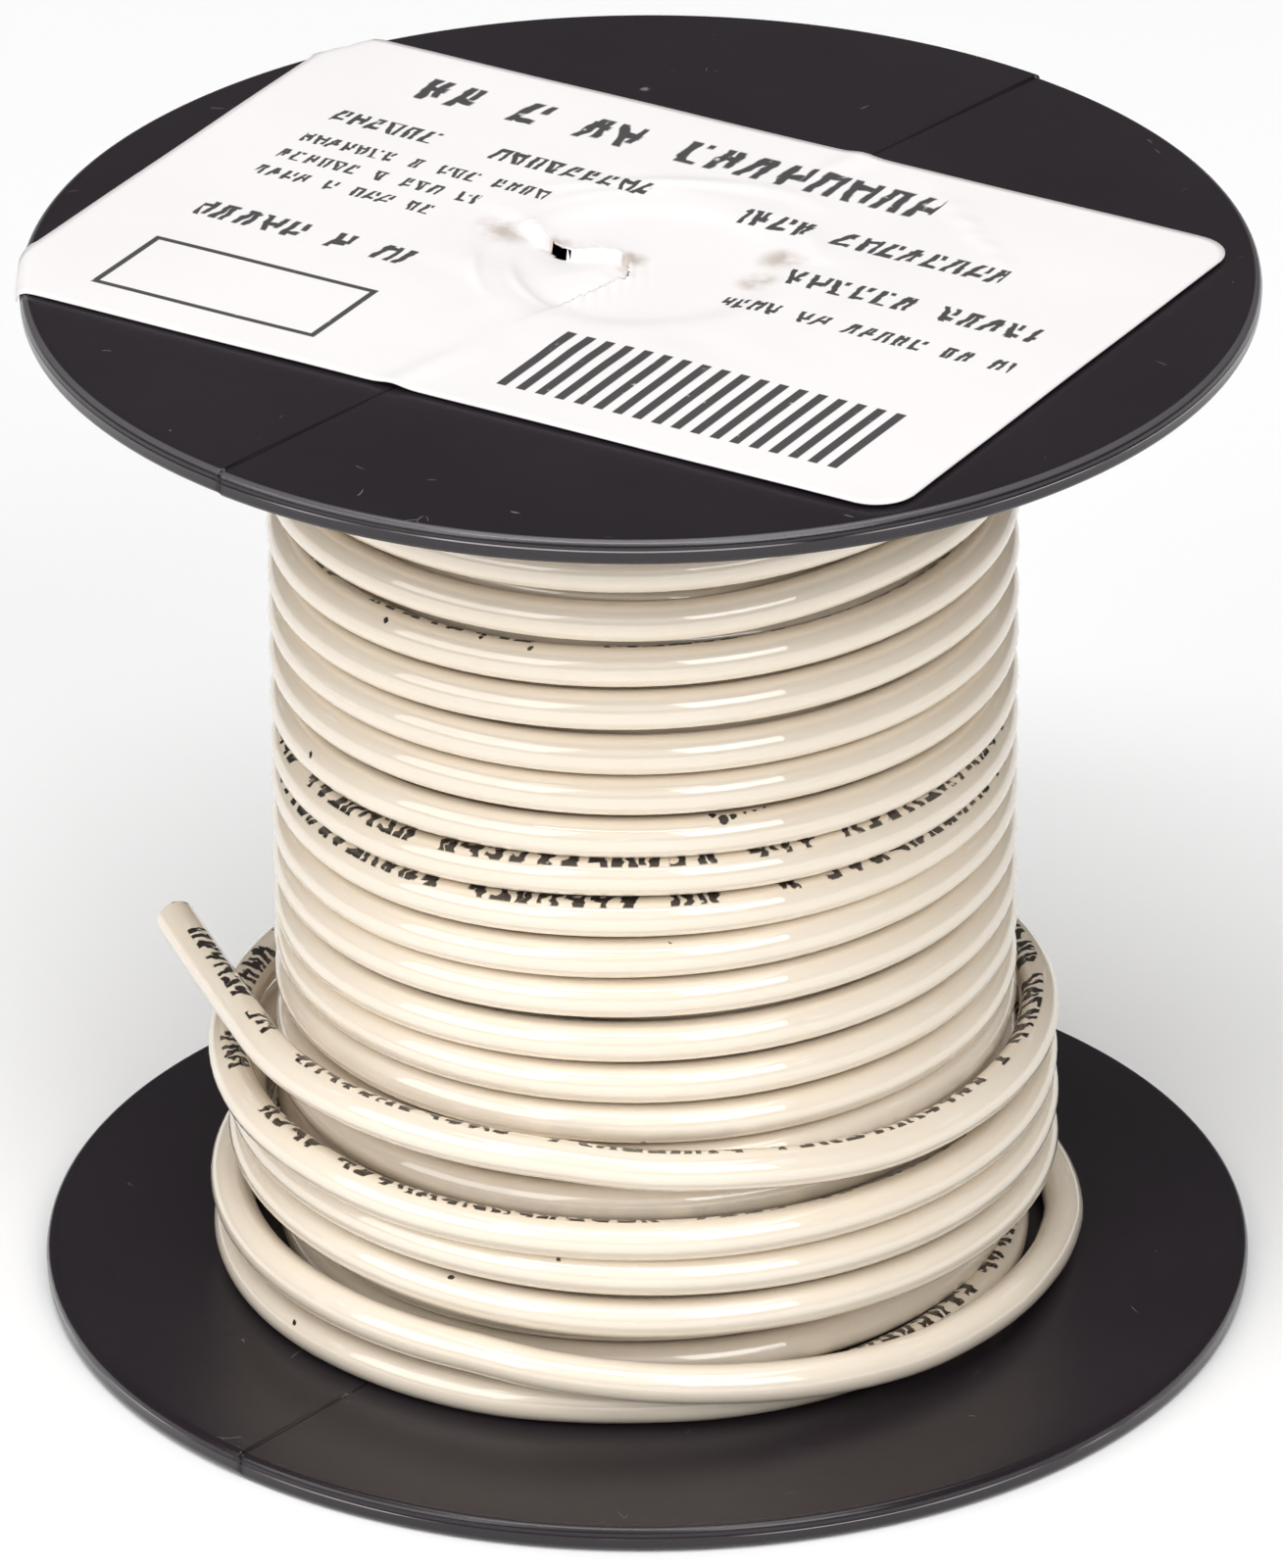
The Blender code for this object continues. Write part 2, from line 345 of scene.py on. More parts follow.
def build_wire():
    points, azimuths = wire_line()
    run = np.concatenate([[0.0], np.cumsum(np.linalg.norm(np.diff(points, axis=0), axis=1))])
    tangent = np.gradient(points, axis=0)
    tangent /= np.linalg.norm(tangent, axis=1)[:, None]
    outward = np.cross([0.0, 0.0, 1.0], tangent)
    outward /= np.linalg.norm(outward, axis=1)[:, None]
    upward = np.cross(tangent, outward)
    knots = np.array(LEGEND_KNOTS, float)
    onward = np.clip(-azimuths, -knots[0, 0], None)
    legend = np.radians(smooth_through(-knots[:, 0], knots[:, 1], onward))

    sides = np.arange(WIRE_SIDES)
    turn = legend[:, None] + math.pi + 2 * math.pi * sides[None, :] / WIRE_SIDES
    ring = points[:, None, :] + WIRE_DIAMETER / 2 * (np.cos(turn)[:, :, None] * outward[:, None, :]
                                                     + np.sin(turn)[:, :, None] * upward[:, None, :])
    count = len(points)
    corners = ring.reshape(-1, 3)
    faces = []
    uvs = []
    for i in range(count - 1):
        for j in range(WIRE_SIDES):
            k = (j + 1) % WIRE_SIDES
            here = i * WIRE_SIDES
            there = here + WIRE_SIDES
            faces.append((here + j, here + k, there + k, there + j))
            low = j / WIRE_SIDES
            high = (j + 1) / WIRE_SIDES
            uvs += [(run[i], low), (run[i], high), (run[i + 1], high), (run[i + 1], low)]
    mesh = bpy.data.meshes.new("wire")
    first = tuple(range(WIRE_SIDES))
    last = tuple((count - 1) * WIRE_SIDES + j for j in range(WIRE_SIDES))[::-1]
    mesh.from_pydata(corners.tolist(), [], faces + [first, last])
    layer = mesh.uv_layers.new(name="UVMap")
    flat = np.zeros((len(mesh.loops), 2), np.float32)
    flat[:len(uvs)] = uvs
    flat[len(uvs):, 0] = -1.0
    layer.data.foreach_set("uv", flat.ravel())
    mesh.shade_smooth()
    mesh.set_sharp_from_angle(angle=math.radians(50))
    wire = bpy.data.objects.new("wire", mesh)
    bpy.context.scene.collection.objects.link(wire)
    return wire, points


def strokes(graph, along, across, pitch, seed, waver, weight):
    """Illegible strokes in a row: 1 where there is ink. Across is 0 to 1 over their height."""
    steps = graph.math("DIVIDE", along, pitch)
    cell = graph.math("FLOOR", steps)
    inside = graph.math("FRACT", steps)
    chance = graph.node("ShaderNodeTexWhiteNoise",
                        {"Vector": graph.join(cell, seed, 0.0)}, noise_dimensions="3D")
    split = graph.node("ShaderNodeSeparateColor", {"Color": chance.outputs["Color"]})
    first, second, third = split.outputs[:3]
    sway = graph.noise(graph.join(steps, graph.math("MULTIPLY", across, 1.4), seed), 1.7, 1.0)
    wobble = graph.math("MULTIPLY", graph.math("SUBTRACT", sway, 0.5), waver)
    place = graph.math("ADD", inside, wobble)
    slant = graph.product(graph.math("SUBTRACT", second, 0.5), graph.math("SUBTRACT", across, 0.5))
    stem = graph.math("ABSOLUTE", graph.math("SUBTRACT", graph.math("ADD", place, slant), 0.34))
    stem = graph.ramp(stem, weight + 0.04, weight - 0.03)
    middle = graph.math("MULTIPLY_ADD", first, 0.3, 0.62)
    other = graph.math("ABSOLUTE", graph.math("SUBTRACT", place, middle))
    other = graph.product(graph.ramp(other, weight + 0.02, weight - 0.05),
                          graph.ramp(graph.math("ADD", across, third), 0.75, 0.85))
    level = graph.math("ABSOLUTE", graph.math("SUBTRACT", graph.math("ADD", across, wobble), third))
    bar = graph.product(graph.ramp(level, weight + 0.01, weight - 0.04),
                        graph.ramp(inside, 0.22, 0.30), graph.ramp(inside, 0.92, 0.80))
    row = graph.product(graph.ramp(across, 0.0, 0.07), graph.ramp(across, 1.0, 0.93))
    word = graph.node("ShaderNodeTexWhiteNoise", {"W": graph.math("FLOOR", graph.math("ADD", cell, seed))},
                      noise_dimensions="1D").outputs["Value"]
    kept = graph.math("GREATER_THAN", word, 0.16)
    return graph.product(graph.either(stem, other, bar), row, kept)


def drawn_out(graph, along, round_it, along_scale, round_scale, detail):
    """Noise stretched along the wire: so many cells to a metre along it and to a turn round it."""
    place = graph.join(graph.math("MULTIPLY", along, along_scale),
                       graph.math("MULTIPLY", round_it, round_scale))
    return graph.noise(place, 1.0, detail)


def blots(graph, spot):
    """Small frayed marks at their places on the jacket: 1 where there is dirt."""
    frayed = graph.math("MULTIPLY", graph.noise(spot, 2200.0, 3.0), BLOT_FRAY)
    dirt = 0.0
    for x, y, z, size in BLOTS:
        away = graph.node("ShaderNodeVectorMath", {0: spot, 1: (x * MM, y * MM, z * MM)},
                          operation="DISTANCE").outputs["Value"]
        edge = graph.math("ADD", away, frayed)
        dirt = graph.either(dirt, graph.ramp(edge, size * MM + BLOT_START, size * MM + BLOT_FULL))
    return dirt


def wire_material():
    graph = Graph("wire_jacket")
    spot = place_of(graph)
    along, round_it = graph.split(graph.node("ShaderNodeUVMap", uv_map="UVMap").outputs[0])[:2]
    across = graph.math("DIVIDE", graph.math("SUBTRACT", round_it, LEGEND_FOOT), LEGEND_HEIGHT)
    legend = strokes(graph, along, across, LEGEND_PITCH, LEGEND_SEED, LEGEND_WAVER, LEGEND_WEIGHT)
    legend = graph.product(legend, graph.math("GREATER_THAN", along, 0.0))
    break_up = drawn_out(graph, along, round_it, 900.0, 9.0, 2.0)
    legend = graph.product(legend, graph.ramp(break_up, 0.24, 0.36))

    speck = graph.node("ShaderNodeTexVoronoi", {"Vector": spot, "Scale": 95.0, "Randomness": 1.0})
    speck_kind = graph.node("ShaderNodeSeparateColor", {"Color": speck.outputs["Color"]}).outputs[0]
    speck_size = graph.math("MULTIPLY", graph.math("SUBTRACT", speck_kind, 0.74), 0.16)
    specks = graph.math("LESS_THAN", speck.outputs["Distance"], speck_size)
    ink = graph.either(legend, graph.product(specks, 0.85), blots(graph, spot))

    mottle = graph.noise(spot, 70.0, 3.0)
    warm = graph.noise(graph.join(graph.math("MULTIPLY", along, 14.0), round_it), 1.0, 2.0)
    jacket = graph.mix(graph.ramp(mottle, 0.3, 0.7), IVORY, PALE_IVORY)
    jacket = graph.mix(graph.product(graph.ramp(warm, 0.35, 0.75), 0.35), jacket, WARM_IVORY)
    graph.put(graph.shader.inputs["Base Color"], graph.mix(ink, jacket, LEGEND_INK))

    drawn = drawn_out(graph, along, round_it, 40.0, 6.0, 3.0)
    scuff = drawn_out(graph, along, round_it, 260.0, 20.0, 3.0)
    scuffed = graph.ramp(scuff, 0.58, 0.74)
    gloss = graph.math("MULTIPLY_ADD", drawn, 0.10, 0.24)
    gloss = graph.math("ADD", gloss, graph.product(scuffed, 0.18))
    graph.put(graph.shader.inputs["Roughness"], graph.math("ADD", gloss, graph.product(ink, 0.25)))
    normal = graph.bump(drawn, 0.08, 0.0002)
    normal = graph.bump(scuff, 0.05, 0.0001, normal)
    graph.put(graph.shader.inputs["Normal"], normal)
    graph.shader.inputs["IOR"].default_value = 1.5
    graph.put(graph.shader.inputs["Coat Weight"], graph.math("MULTIPLY_ADD", scuffed, -0.7, 1.0))
    graph.shader.inputs["Coat Roughness"].default_value = 0.02
    graph.shader.inputs["Coat IOR"].default_value = 1.8
    graph.shader.inputs["Coat Tint"].default_value = (1.0, 0.970, 0.905, 1.0)
    graph.shader.inputs["Specular IOR Level"].default_value = 0.2
    return graph.material


def copper_material():
    graph = Graph("copper")
    spot = place_of(graph)
    grain = graph.noise(spot, 2500.0, 4.0, 0.6, 0.4)
    graph.put(graph.shader.inputs["Base Color"], graph.mix(grain, (0.62, 0.28, 0.15), (0.86, 0.46, 0.28)))
    graph.put(graph.shader.inputs["Roughness"], graph.math("MULTIPLY_ADD", grain, 0.25, 0.22))
    graph.put(graph.shader.inputs["Normal"], graph.bump(grain, 0.4, 0.0001))
    graph.shader.inputs["Metallic"].default_value = 1.0
    return graph.material


# Radius and height of the rings of the conductor's cut face
COPPER_RINGS = ((0.00103, 0.0), (0.00100, 0.00008), (0.00060, 0.00017), (0.00010, 0.00024))
COPPER_SIDES = 24
COPPER_PROUD = 0.00002


def build_copper_end(points):
    """The cut face of the conductor, a shallow cone that the cutter left."""
    direction = Vector(points[-1] - points[-2]).normalized()
    bm = bmesh.new()
    lift = direction.to_track_quat("Z", "Y").to_matrix().to_4x4()
    lift.translation = Vector(points[-1]) + direction * COPPER_PROUD
    loops = []
    for radius, height in COPPER_RINGS:
        loop = [bm.verts.new(lift @ Vector((radius * math.cos(a), radius * math.sin(a), height)))
                for a in np.linspace(0, 2 * math.pi, COPPER_SIDES, endpoint=False)]
        loops.append(loop)
    for lower, upper in zip(loops, loops[1:]):
        for i in range(COPPER_SIDES):
            j = (i + 1) % COPPER_SIDES
            bm.faces.new((lower[i], lower[j], upper[j], upper[i]))
    bm.faces.new(loops[-1])
    bm.faces.new(loops[0][::-1])
    mesh = bpy.data.meshes.new("copper_end")
    bm.to_mesh(mesh)
    bm.free()
    mesh.shade_smooth()
    obj = bpy.data.objects.new("copper_end", mesh)
    bpy.context.scene.collection.objects.link(obj)
    obj.data.materials.append(copper_material())
    return obj


# Spool

# Azimuths where the mould's halves meet, and how far one half stands proud there
SEAM_AZIMUTHS = (48.4, 228.4)
SEAM_STEP = 0.00010
SEAM_GROWTH = 0.00005
SEAM_GAP = 0.10
SEAM_CLEAR = 0.75

# Rims: rounding of the lower and upper shoulder, and the fine line at a share of the flange's thickness
LOW_ROUNDING = 0.00045
RIM_ROUNDING = 0.0006
FLASH_SHARE = 0.56
FLASH_HEIGHT = FLASH_SHARE * FLANGE_THICKNESS
UPPER_FLASH_HEIGHT = FLANGE_THICKNESS + WINDING_WIDTH + FLASH_HEIGHT
FLASH_PROUD = 0.00002

# Slight waviness of the flanges, from this radius outwards
FLANGE_WAVE = 0.00006
WAVE_START = 0.030
BORE_CHAMFER = 0.0004
FACE_STEPS = 8
SPOOL_SEGMENTS = 240


def arc_points(centre, radius, start, end, count):
    return [(centre[0] + radius * math.cos(math.radians(a)), centre[1] + radius * math.sin(math.radians(a)))
            for a in np.linspace(start, end, count)]


def rim_profile(low):
    """Rim of one flange, from its lower face up: round shoulders and the mould's fine line."""
    out = FLANGE_RADIUS
    high = low + FLANGE_THICKNESS
    line = low + FLASH_HEIGHT
    points = arc_points((out - LOW_ROUNDING, low + LOW_ROUNDING), LOW_ROUNDING, -90, 0, 6)
    points += [(out, line - 0.00008), (out + FLASH_PROUD, line - 0.00003),
               (out + FLASH_PROUD, line + 0.00003), (out - FLASH_PROUD, line + 0.00008)]
    points += arc_points((out - RIM_ROUNDING, high - RIM_ROUNDING), RIM_ROUNDING - FLASH_PROUD, 0, 90, 7)
    return points


def face_ladder(start, end, z, steps):
    """Extra rings on a flange's flat, so that it can carry a slight waviness."""
    return [(start + (end - start) * i / steps, z) for i in range(1, steps)]


def spool_profile():
    top = SPOOL_HEIGHT
    inner_low = FLANGE_THICKNESS
    inner_high = FLANGE_THICKNESS + WINDING_WIDTH
    edge = FLANGE_RADIUS - LOW_ROUNDING
    mouth = BORE_RADIUS + BORE_CHAMFER
    profile = [(BORE_RADIUS, BORE_CHAMFER), (mouth, 0.0)]
    profile += face_ladder(mouth, edge, 0.0, FACE_STEPS)
    profile += rim_profile(0.0)
    profile += face_ladder(FLANGE_RADIUS - RIM_ROUNDING, DRUM_RADIUS, inner_low, FACE_STEPS)
    profile += [(DRUM_RADIUS, inner_low), (DRUM_RADIUS, inner_high)]
    profile += face_ladder(DRUM_RADIUS, edge, inner_high, FACE_STEPS)
    profile += rim_profile(inner_high)
    profile += face_ladder(FLANGE_RADIUS - RIM_ROUNDING, mouth, top, FACE_STEPS)
    profile += [(mouth, top), (BORE_RADIUS, top - BORE_CHAMFER)]
    return profile


def spool_angles():
    angles = set(np.round(np.linspace(0, 360, SPOOL_SEGMENTS, endpoint=False), 4))
    for seam in SEAM_AZIMUTHS:
        angles -= {a for a in angles if abs(a - seam) < 0.7}
        angles |= {seam - SEAM_CLEAR, seam - SEAM_GAP, seam + SEAM_GAP, seam + SEAM_CLEAR}
    return sorted(angles)


def build_spool():
    profile = spool_profile()
    angles = spool_angles()
    verts = []
    for angle in angles:
        a = math.radians(angle)
        proud = 1.0 if SEAM_AZIMUTHS[0] < angle < SEAM_AZIMUTHS[1] else -1.0
        for r, z in profile:
            edge = max(0.0, (r - WAVE_START) / (FLANGE_RADIUS - WAVE_START))
            wave = FLANGE_WAVE * math.sin(3 * a + 40 * z) * edge
            lift = proud * SEAM_STEP * edge + wave
            grown = r + proud * SEAM_GROWTH * edge
            verts.append((grown * math.cos(a), grown * math.sin(a), max(z + lift, 0.0)))
    size = len(profile)
    faces = []
    for i in range(len(angles)):
        n = (i + 1) % len(angles)
        for j in range(size):
            k = (j + 1) % size
            faces.append((i * size + j, i * size + k, n * size + k, n * size + j))
    mesh = bpy.data.meshes.new("spool_body")
    mesh.from_pydata(verts, [], faces)
    bm = bmesh.new()
    bm.from_mesh(mesh)
    bmesh.ops.recalc_face_normals(bm, faces=bm.faces)
    bm.to_mesh(mesh)
    bm.free()
    mesh.shade_smooth()
    mesh.set_sharp_from_angle(angle=math.radians(40))
    obj = bpy.data.objects.new("spool_body", mesh)
    bpy.context.scene.collection.objects.link(obj)
    return obj


# Colours of the spool: the two blacks that it clouds between, its groove, litter and flash, and the painted
# highlight on the upper rim's shoulder
BLACK = (0.0155, 0.0112, 0.0150)
FADED_BLACK = (0.0200, 0.0147, 0.0190)
GROOVE_BLACK = (0.004, 0.003, 0.004)
LITTER_GREY = (0.34, 0.31, 0.31)
FLASH_GREY = (0.42, 0.39, 0.39)
SHOULDER_HIGHLIGHT_GREY = (0.085, 0.080, 0.088)


def spool_material():
    graph = Graph("spool_plastic")
    spot = place_of(graph)
    x, y, z = graph.split(spot)
    facing = graph.split(graph.node("ShaderNodeNewGeometry").outputs["Normal"])[2]
    upward = graph.ramp(facing, 0.6, 0.9)
    out_squared = graph.math("ADD", graph.product(x, x), graph.product(y, y))

    seam = math.radians(SEAM_AZIMUTHS[0])
    past_seam = graph.math("SUBTRACT", graph.math("MULTIPLY", y, math.cos(seam)),
                           graph.math("MULTIPLY", x, math.sin(seam)))
    groove = graph.ramp(graph.math("ABSOLUTE", past_seam), 0.00016, 0.00005)

    dust_cells = graph.node("ShaderNodeTexVoronoi", {"Vector": spot, "Scale": 420.0, "Randomness": 1.0})
    dust_kind = graph.node("ShaderNodeSeparateColor", {"Color": dust_cells.outputs["Color"]}).outputs[0]
    dust = graph.math("LESS_THAN", dust_cells.outputs["Distance"],
                      graph.math("MULTIPLY", graph.math("SUBTRACT", dust_kind, 0.84), 0.30))
    bend = graph.node("ShaderNodeTexNoise", {"Vector": spot, "Scale": 260.0, "Detail": 1.0})
    bend = bend.outputs["Color"]
    fibre_bend = graph.node("ShaderNodeVectorMath", {0: bend, 1: (0.004, 0.004, 0.004), 2: spot},
                            operation="MULTIPLY_ADD").outputs[0]
    fibre_lines = graph.node("ShaderNodeTexVoronoi", {"Vector": fibre_bend, "Scale": 330.0},
                             feature="DISTANCE_TO_EDGE").outputs["Distance"]
    fibre_where = graph.noise(spot, 330.0, 1.0)
    fibres = graph.product(graph.ramp(fibre_lines, 0.016, 0.004), graph.ramp(fibre_where, 0.71, 0.75))
    litter = graph.product(graph.either(graph.product(dust, 0.8), fibres), upward)

    cloud = graph.noise(spot, 45.0, 4.0, 0.6)
    haze = graph.noise(spot, 9.0, 2.0)
    black = graph.mix(graph.ramp(cloud, 0.3, 0.75), BLACK, FADED_BLACK)
    black = graph.mix(graph.product(groove, 0.8), black, GROOVE_BLACK)
    black = graph.mix(graph.product(litter, 0.45), black, LITTER_GREY)

    level = graph.math("SUBTRACT", z, graph.math("MULTIPLY", graph.math("SIGN", past_seam), SEAM_STEP))
    low_line = graph.math("ABSOLUTE", graph.math("SUBTRACT", level, FLASH_HEIGHT))
    high_line = graph.math("ABSOLUTE", graph.math("SUBTRACT", level, UPPER_FLASH_HEIGHT))
    on_rim = graph.math("GREATER_THAN", out_squared, (FLANGE_RADIUS - 0.0003) ** 2)
    flash = graph.ramp(graph.math("MINIMUM", low_line, high_line), 0.00007, 0.00002)
    flash = graph.product(flash, on_rim, graph.ramp(graph.noise(spot, 55.0, 3.0), 0.42, 0.58))
    black = graph.mix(graph.product(flash, 0.75), black, FLASH_GREY)
    # Painted highlight: the upper flange's rounded shoulder gets a lighter grey base colour, in place of
    # the lights' reflection there
    painted_shoulder_highlight = graph.product(graph.math("GREATER_THAN", z, SPOOL_HEIGHT / 2),
                           graph.ramp(facing, 0.40, 0.65), graph.ramp(facing, 0.995, 0.95),
                           graph.math("GREATER_THAN", out_squared, (FLANGE_RADIUS - 0.0007) ** 2))
    black = graph.mix(painted_shoulder_highlight, black, SHOULDER_HIGHLIGHT_GREY)
    graph.put(graph.shader.inputs["Base Color"], black)

    grain = graph.noise(spot, 3800.0, 2.0)
    rub = graph.join(graph.math("MULTIPLY", x, 60.0), graph.math("MULTIPLY", y, 900.0), z)
    rub = graph.noise(rub, 1.0, 3.0)
    satin = graph.math("MULTIPLY_ADD", haze, 0.12, 0.26)
    satin = graph.math("ADD", satin, graph.product(graph.ramp(rub, 0.55, 0.8), 0.05))
    polished = graph.ramp(out_squared, (FLANGE_RADIUS - 0.0010) ** 2, (FLANGE_RADIUS - 0.0005) ** 2)
    satin = graph.math("SUBTRACT", satin, graph.product(polished, 0.14))
    graph.put(graph.shader.inputs["Roughness"], graph.math("ADD", satin, graph.product(litter, 0.4)))
    normal = graph.bump(grain, 0.10, 0.0001)
    normal = graph.bump(cloud, 0.05, 0.0004, normal)
    normal = graph.bump(graph.math("SUBTRACT", 1.0, groove), 0.5, 0.0002, normal)
    graph.put(graph.shader.inputs["Normal"], normal)
    graph.shader.inputs["IOR"].default_value = 1.5
    return graph.material


# Label

# Spacing of the sheet's grid over the tear and elsewhere
LABEL_FINE = 0.0002
LABEL_COARSE = 0.0006

# Paper's thickness, its lift above the flange, and how far it sinks at most outside the bore
PAPER = 0.0001
PAPER_LIFT = 0.00006
DEEPEST = -0.00012
FLAT_RADIUS = FLANGE_RADIUS - RIM_ROUNDING

# Tear over the hub's hole, in mm on the flange, with the gap's width at each point
TEAR = ((-8.2, 6.6, 0.0), (-7.5, 5.7, 0.0), (-6.7, 4.3, 0.0), (-5.8, 2.8, 0.80), (-4.9, 2.5, 0.0),
        (-3.0, 2.8, 0.0), (-1.6, 2.3, 0.0), (-0.9, 0.6, 0.0), (-1.15, -1.6, 0.62), (-2.2, -2.6, 0.0),
        (-3.9, -4.6, 0.0), (-4.9, -5.6, 0.0))
TEAR_FINE_T = (-0.0092, 0.0052)
TEAR_FINE_N = (-0.0092, 0.0024)


def label_to_spool(t, n):
    x = LABEL_CENTRE[0] + t * math.cos(LABEL_TURN) - n * math.sin(LABEL_TURN)
    y = LABEL_CENTRE[1] + t * math.sin(LABEL_TURN) + n * math.cos(LABEL_TURN)
    return x, y


def spaced(low, high, fine_low, fine_high):
    """Grid lines from low to high, close together over the tear."""
    outer_left = round((fine_low - low) / LABEL_COARSE)
    middle = round((fine_high - fine_low) / LABEL_FINE)
    outer_right = round((high - fine_high) / LABEL_COARSE)
    return np.concatenate([np.linspace(low, fine_low, outer_left, endpoint=False),
                           np.linspace(fine_low, fine_high, middle, endpoint=False),
                           np.linspace(fine_high, high, outer_right + 1)])


def bell(value, middle, width):
    return math.exp(-((value - middle) / width) ** 2)


def ragged(value):
    """A fixed uneven wave between -1 and 1."""
    return (0.5 * math.sin(value * 5.3 + 1.1) + 0.3 * math.sin(value * 12.7 + 0.3)
            + 0.2 * math.sin(value * 27.1 + 2.0))


def tear_at(x, y):
    """Signed distance from the tear's line in mm, and the gap's half width there."""
    best = None
    for (ax, ay, aw), (bx, by, bw) in zip(TEAR, TEAR[1:]):
        dx = bx - ax
        dy = by - ay
        share = max(0.0, min(1.0, ((x - ax) * dx + (y - ay) * dy) / (dx * dx + dy * dy)))
        away = math.hypot(x - ax - share * dx, y - ay - share * dy)
        if best is None or away < best[0]:
            side = math.copysign(1.0, dx * (y - ay) - dy * (x - ax))
            best = (away, side, (aw + (bw - aw) * share) / 2)
    away, side, half = best
    return away * side, half


def paper_height(x, y):
    """Height of the paper above the flange: the dished middle, its ridges, creases and torn edges."""
    r = math.hypot(x, y) / MM
    angle = math.degrees(math.atan2(y, x)) % 360
    sink = 1 / (1 + math.exp((r - 9.8) / 0.5))
    dish = -0.00025 * sink - 0.00022 * sink * (1 - r / 11.5)
    top_arc = 0.00022 * bell(r, 15.2 + 1.2 * math.sin(math.radians(angle) * 3), 0.65) * bell(angle, 78, 34)
    top_arc += 0.00010 * bell(r, 12.6, 0.6) * bell(angle, 95, 30)
    left_arc = 0.00020 * bell(r, 12.2, 0.50) * bell(angle, 178, 22)
    left_arc += 0.00016 * bell(r, 9.4, 0.50) * bell(angle, 196, 26)
    right_arc = 0.00014 * bell(r, 12.9, 0.7) * bell(angle, 10, 30)
    crease = x / MM - 24.6 - 0.35 * (4 - y / MM) - 0.6 * ragged(y / MM)
    zig = 0.00016 * bell(crease, 0.0, 0.45) * bell(y / MM, 5.0, 7.0)
    ripple = 0.000035 * math.sin(x * 900 + 2 * math.sin(y * 420)) * bell(r, 12.0, 5.5)
    sway = 0.00003 * math.sin(x * 210 + 1.3) * math.sin(y * 260 + 0.4)
    off = tear_at(x / MM, y / MM)[0]
    if off > 0:
        torn = 0.00028 * math.exp(-off / 1.1) * (1 + 0.5 * ragged(x / MM * 1.3))
    else:
        torn = -0.00060 * math.exp(off / 1.8)
    seam = math.radians(SEAM_AZIMUTHS[0])
    across_seam = (y * math.cos(seam) - x * math.sin(seam)) / MM
    over_seam = 0.00020 * bell(across_seam, 0.0, 1.1) * (1 / (1 + math.exp((20 - r) / 1.0)))
    return dish + top_arc + left_arc + right_arc + zig + ripple + sway + torn + over_seam + 0.00002


def wrap_over_rim(x, y, height):
    """Point of the paper in space: flat on the face, then bent down over the rim."""
    r = math.hypot(x, y)
    base = SPOOL_HEIGHT + PAPER_LIFT + PAPER + SEAM_STEP + 0.00006
    if r > BORE_RADIUS:
        height = max(height, DEEPEST)
    if r <= FLAT_RADIUS:
        return x, y, base + height
    bend = RIM_ROUNDING + PAPER_LIFT + PAPER
    run = r - FLAT_RADIUS
    turn = min(run / bend, math.pi / 2 * 0.94)
    rest = max(0.0, run - turn * bend)
    out = FLAT_RADIUS + bend * math.sin(turn) + rest * math.cos(turn) + 0.00012
    down = bend * (1 - math.cos(turn)) + rest * math.sin(turn)
    return out * x / r, out * y / r, base + height - down


def to_rounded(t, n):
    """Pushes a grid point of the square corner onto the rounded one."""
    dx = abs(t) - (LABEL_LENGTH / 2 - LABEL_CORNER)
    dy = abs(n) - (LABEL_WIDTH / 2 - LABEL_CORNER)
    if dx <= 0 or dy <= 0:
        return t, n
    scale = max(dx, dy) / math.hypot(dx, dy)
    return (math.copysign(LABEL_LENGTH / 2 - LABEL_CORNER + dx * scale, t),
            math.copysign(LABEL_WIDTH / 2 - LABEL_CORNER + dy * scale, n))


def build_label():
    columns = spaced(-LABEL_LENGTH / 2, LABEL_LENGTH / 2, *TEAR_FINE_T)
    rows = spaced(-LABEL_WIDTH / 2, LABEL_WIDTH / 2, *TEAR_FINE_N)
    verts = []
    sheet = []
    flat = []
    for n_line in rows:
        for t_line in columns:
            t, n = to_rounded(t_line, n_line)
            sheet.append((t, n))
            x, y = label_to_spool(t, n)
            flat.append((x, y))
            verts.append(wrap_over_rim(x, y, paper_height(x, y)))
    wide = len(columns)
    faces = []
    for j in range(len(rows) - 1):
        for i in range(wide - 1):
            corners = (j * wide + i, j * wide + i + 1, (j + 1) * wide + i + 1, (j + 1) * wide + i)
            x = sum(flat[c][0] for c in corners) / 4 / MM
            y = sum(flat[c][1] for c in corners) / 4 / MM
            if abs(x) < 10 and abs(y) < 10:
                off, half = tear_at(x + 0.08 * ragged(y * 1.7), y + 0.10 * ragged(x * 1.9))
                if abs(off) < half:
                    continue
            faces.append(corners)
    mesh = bpy.data.meshes.new("paper_label")
    mesh.from_pydata(verts, [], faces)
    layer = mesh.uv_layers.new(name="UVMap")
    for loop in mesh.loops:
        layer.data[loop.index].uv = sheet[loop.vertex_index]
    bm = bmesh.new()
    bm.from_mesh(mesh)
    bmesh.ops.delete(bm, geom=[v for v in bm.verts if not v.link_faces], context="VERTS")
    bm.to_mesh(mesh)
    bm.free()
    mesh.shade_smooth()
    obj = bpy.data.objects.new("paper_label", mesh)
    bpy.context.scene.collection.objects.link(obj)
    thick = obj.modifiers.new("paper", "SOLIDIFY")
    thick.thickness = PAPER
    thick.offset = -1.0
    return obj


def box_mask(graph, x, y, left, right, low, high, soft=0.00006):
    return graph.product(graph.ramp(x, left - soft, left + soft), graph.ramp(x, right + soft, right - soft),
                         graph.ramp(y, low - soft, low + soft), graph.ramp(y, high + soft, high - soft))


def text_line(graph, x, y, left, right, low, high, seed):
    """A line of illegible strokes that stands for printed words."""
    height = high - low
    across = graph.math("DIVIDE", graph.math("SUBTRACT", y, low), height)
    return graph.product(strokes(graph, graph.math("ADD", x, 1.0), across, height * 0.70, seed, 0.30, 0.13),
                         box_mask(graph, x, y, left, right, low, high))


